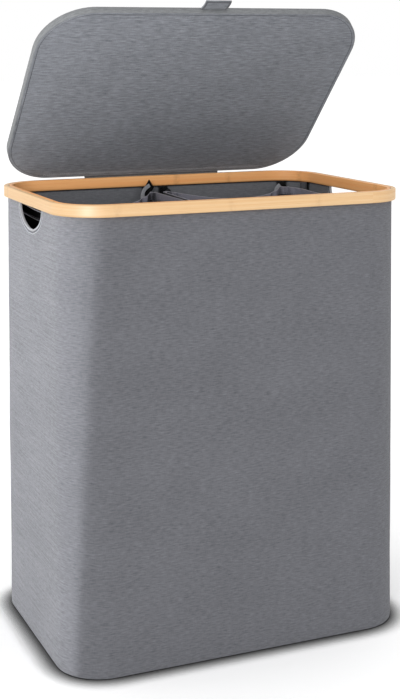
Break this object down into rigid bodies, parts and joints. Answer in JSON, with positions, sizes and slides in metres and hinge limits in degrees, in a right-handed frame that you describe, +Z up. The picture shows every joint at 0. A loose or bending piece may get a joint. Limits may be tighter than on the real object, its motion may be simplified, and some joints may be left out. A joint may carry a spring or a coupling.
{
  "type": "laundry hamper",
  "caption": "Sorting laundry hamper: a fabric box on a bent bamboo rim, with hand cut-outs, a padded lid on a fabric hinge, and liner bags that hook inside the rim",
  "frame": {"origin": "on the floor under the middle of the footprint", "axes": "+X to the right seen from the front, -Y is the front, +Z up"},
  "size_m": [0.528, 0.3756, 0.9236],
  "materials": {
    "bamboo": "satin",
    "linen": "matte",
    "lining": "matte",
    "bag": "matte",
    "hem": "matte",
    "webbing": "matte",
    "binding": "matte",
    "board": "matte",
    "padding": "matte",
    "aluminium": "satin",
    "plastic": "matte"
  },
  "bodies": {
    "frame": {"rim_outer_hoop": "bamboo", "rim_inner_hoop": "bamboo", "outer_cover": "linen", "inner_lining": "lining", "base_board": "board", "cutout_binding_left": "binding", "cutout_binding_right": "binding", "hinge_flap_rim": "linen", "keeper_left_back_inner": "plastic", "keeper_left_back_outer": "plastic", "keeper_left_front_inner": "plastic", "keeper_left_front_outer": "plastic", "keeper_right_back_inner": "plastic", "keeper_right_back_outer": "plastic", "keeper_right_front_inner": "plastic", "keeper_right_front_outer": "plastic", "rim_strap_left_back_inner": "webbing", "rim_strap_left_back_outer": "webbing", "rim_strap_left_front_inner": "webbing", "rim_strap_left_front_outer": "webbing", "rim_strap_right_back_inner": "webbing", "rim_strap_right_back_outer": "webbing", "rim_strap_right_front_inner": "webbing", "rim_strap_right_front_outer": "webbing", "rod_cap_back_left": "plastic", "rod_cap_back_right": "plastic", "rod_cap_front_left": "plastic", "rod_cap_front_right": "plastic", "rod_sleeve_back_left": "lining", "rod_sleeve_back_right": "lining", "rod_sleeve_front_left": "lining", "rod_sleeve_front_right": "lining", "support_rod_back_left": "aluminium", "support_rod_back_right": "aluminium", "support_rod_front_left": "aluminium", "support_rod_front_right": "aluminium"},
    "lid": {"lid_under_panel": "linen", "lid_board": "board", "lid_padding": "padding", "lid_top_panel": "linen", "lid_gusset": "linen", "hinge_flap_lid": "linen", "lid_pull_tab": "linen"},
    "bag_left": {"bag_left_body": "bag", "bag_left_hem": "hem", "hook_left_back_inner": "plastic", "hook_left_back_outer": "plastic", "hook_left_front_inner": "plastic", "hook_left_front_outer": "plastic"},
    "bag_right": {"bag_right_body": "bag", "bag_right_hem": "hem", "hook_right_back_inner": "plastic", "hook_right_back_outer": "plastic", "hook_right_front_inner": "plastic", "hook_right_front_outer": "plastic"},
    "bag_left_handle_outer": {"bag_left_handle_outer": "webbing"},
    "bag_left_handle_inner": {"bag_left_handle_inner": "webbing"},
    "bag_right_handle_outer": {"bag_right_handle_outer": "webbing"},
    "bag_right_handle_inner": {"bag_right_handle_inner": "webbing"}
  },
  "joints": [
    {"name": "lid_hinge", "type": "hinge", "parent": "frame", "child": "lid", "pos_m": [0, 0.1859, 0.6515], "axis": [-1, 0, 0], "range_deg": [-45, 135]},
    {"name": "bag_left_lift", "type": "slide", "parent": "frame", "child": "bag_left", "axis": [0, 0, 1], "range_m": [0, 0.022]},
    {"name": "bag_right_lift", "type": "slide", "parent": "frame", "child": "bag_right", "axis": [0, 0, 1], "range_m": [0, 0.022]},
    {"name": "bag_left_handle_outer_swing", "type": "hinge", "parent": "bag_left", "child": "bag_left_handle_outer", "pos_m": [-0.2375, 0, 0.619], "axis": [0, -1, 0], "range_deg": [0, 165]},
    {"name": "bag_left_handle_inner_swing", "type": "hinge", "parent": "bag_left", "child": "bag_left_handle_inner", "pos_m": [-0.007, 0, 0.619], "axis": [0, 1, 0], "range_deg": [0, 165]},
    {"name": "bag_right_handle_outer_swing", "type": "hinge", "parent": "bag_right", "child": "bag_right_handle_outer", "pos_m": [0.2375, 0, 0.619], "axis": [0, 1, 0], "range_deg": [0, 165]},
    {"name": "bag_right_handle_inner_swing", "type": "hinge", "parent": "bag_right", "child": "bag_right_handle_inner", "pos_m": [0.007, 0, 0.619], "axis": [0, -1, 0], "range_deg": [0, 165]}
  ]
}
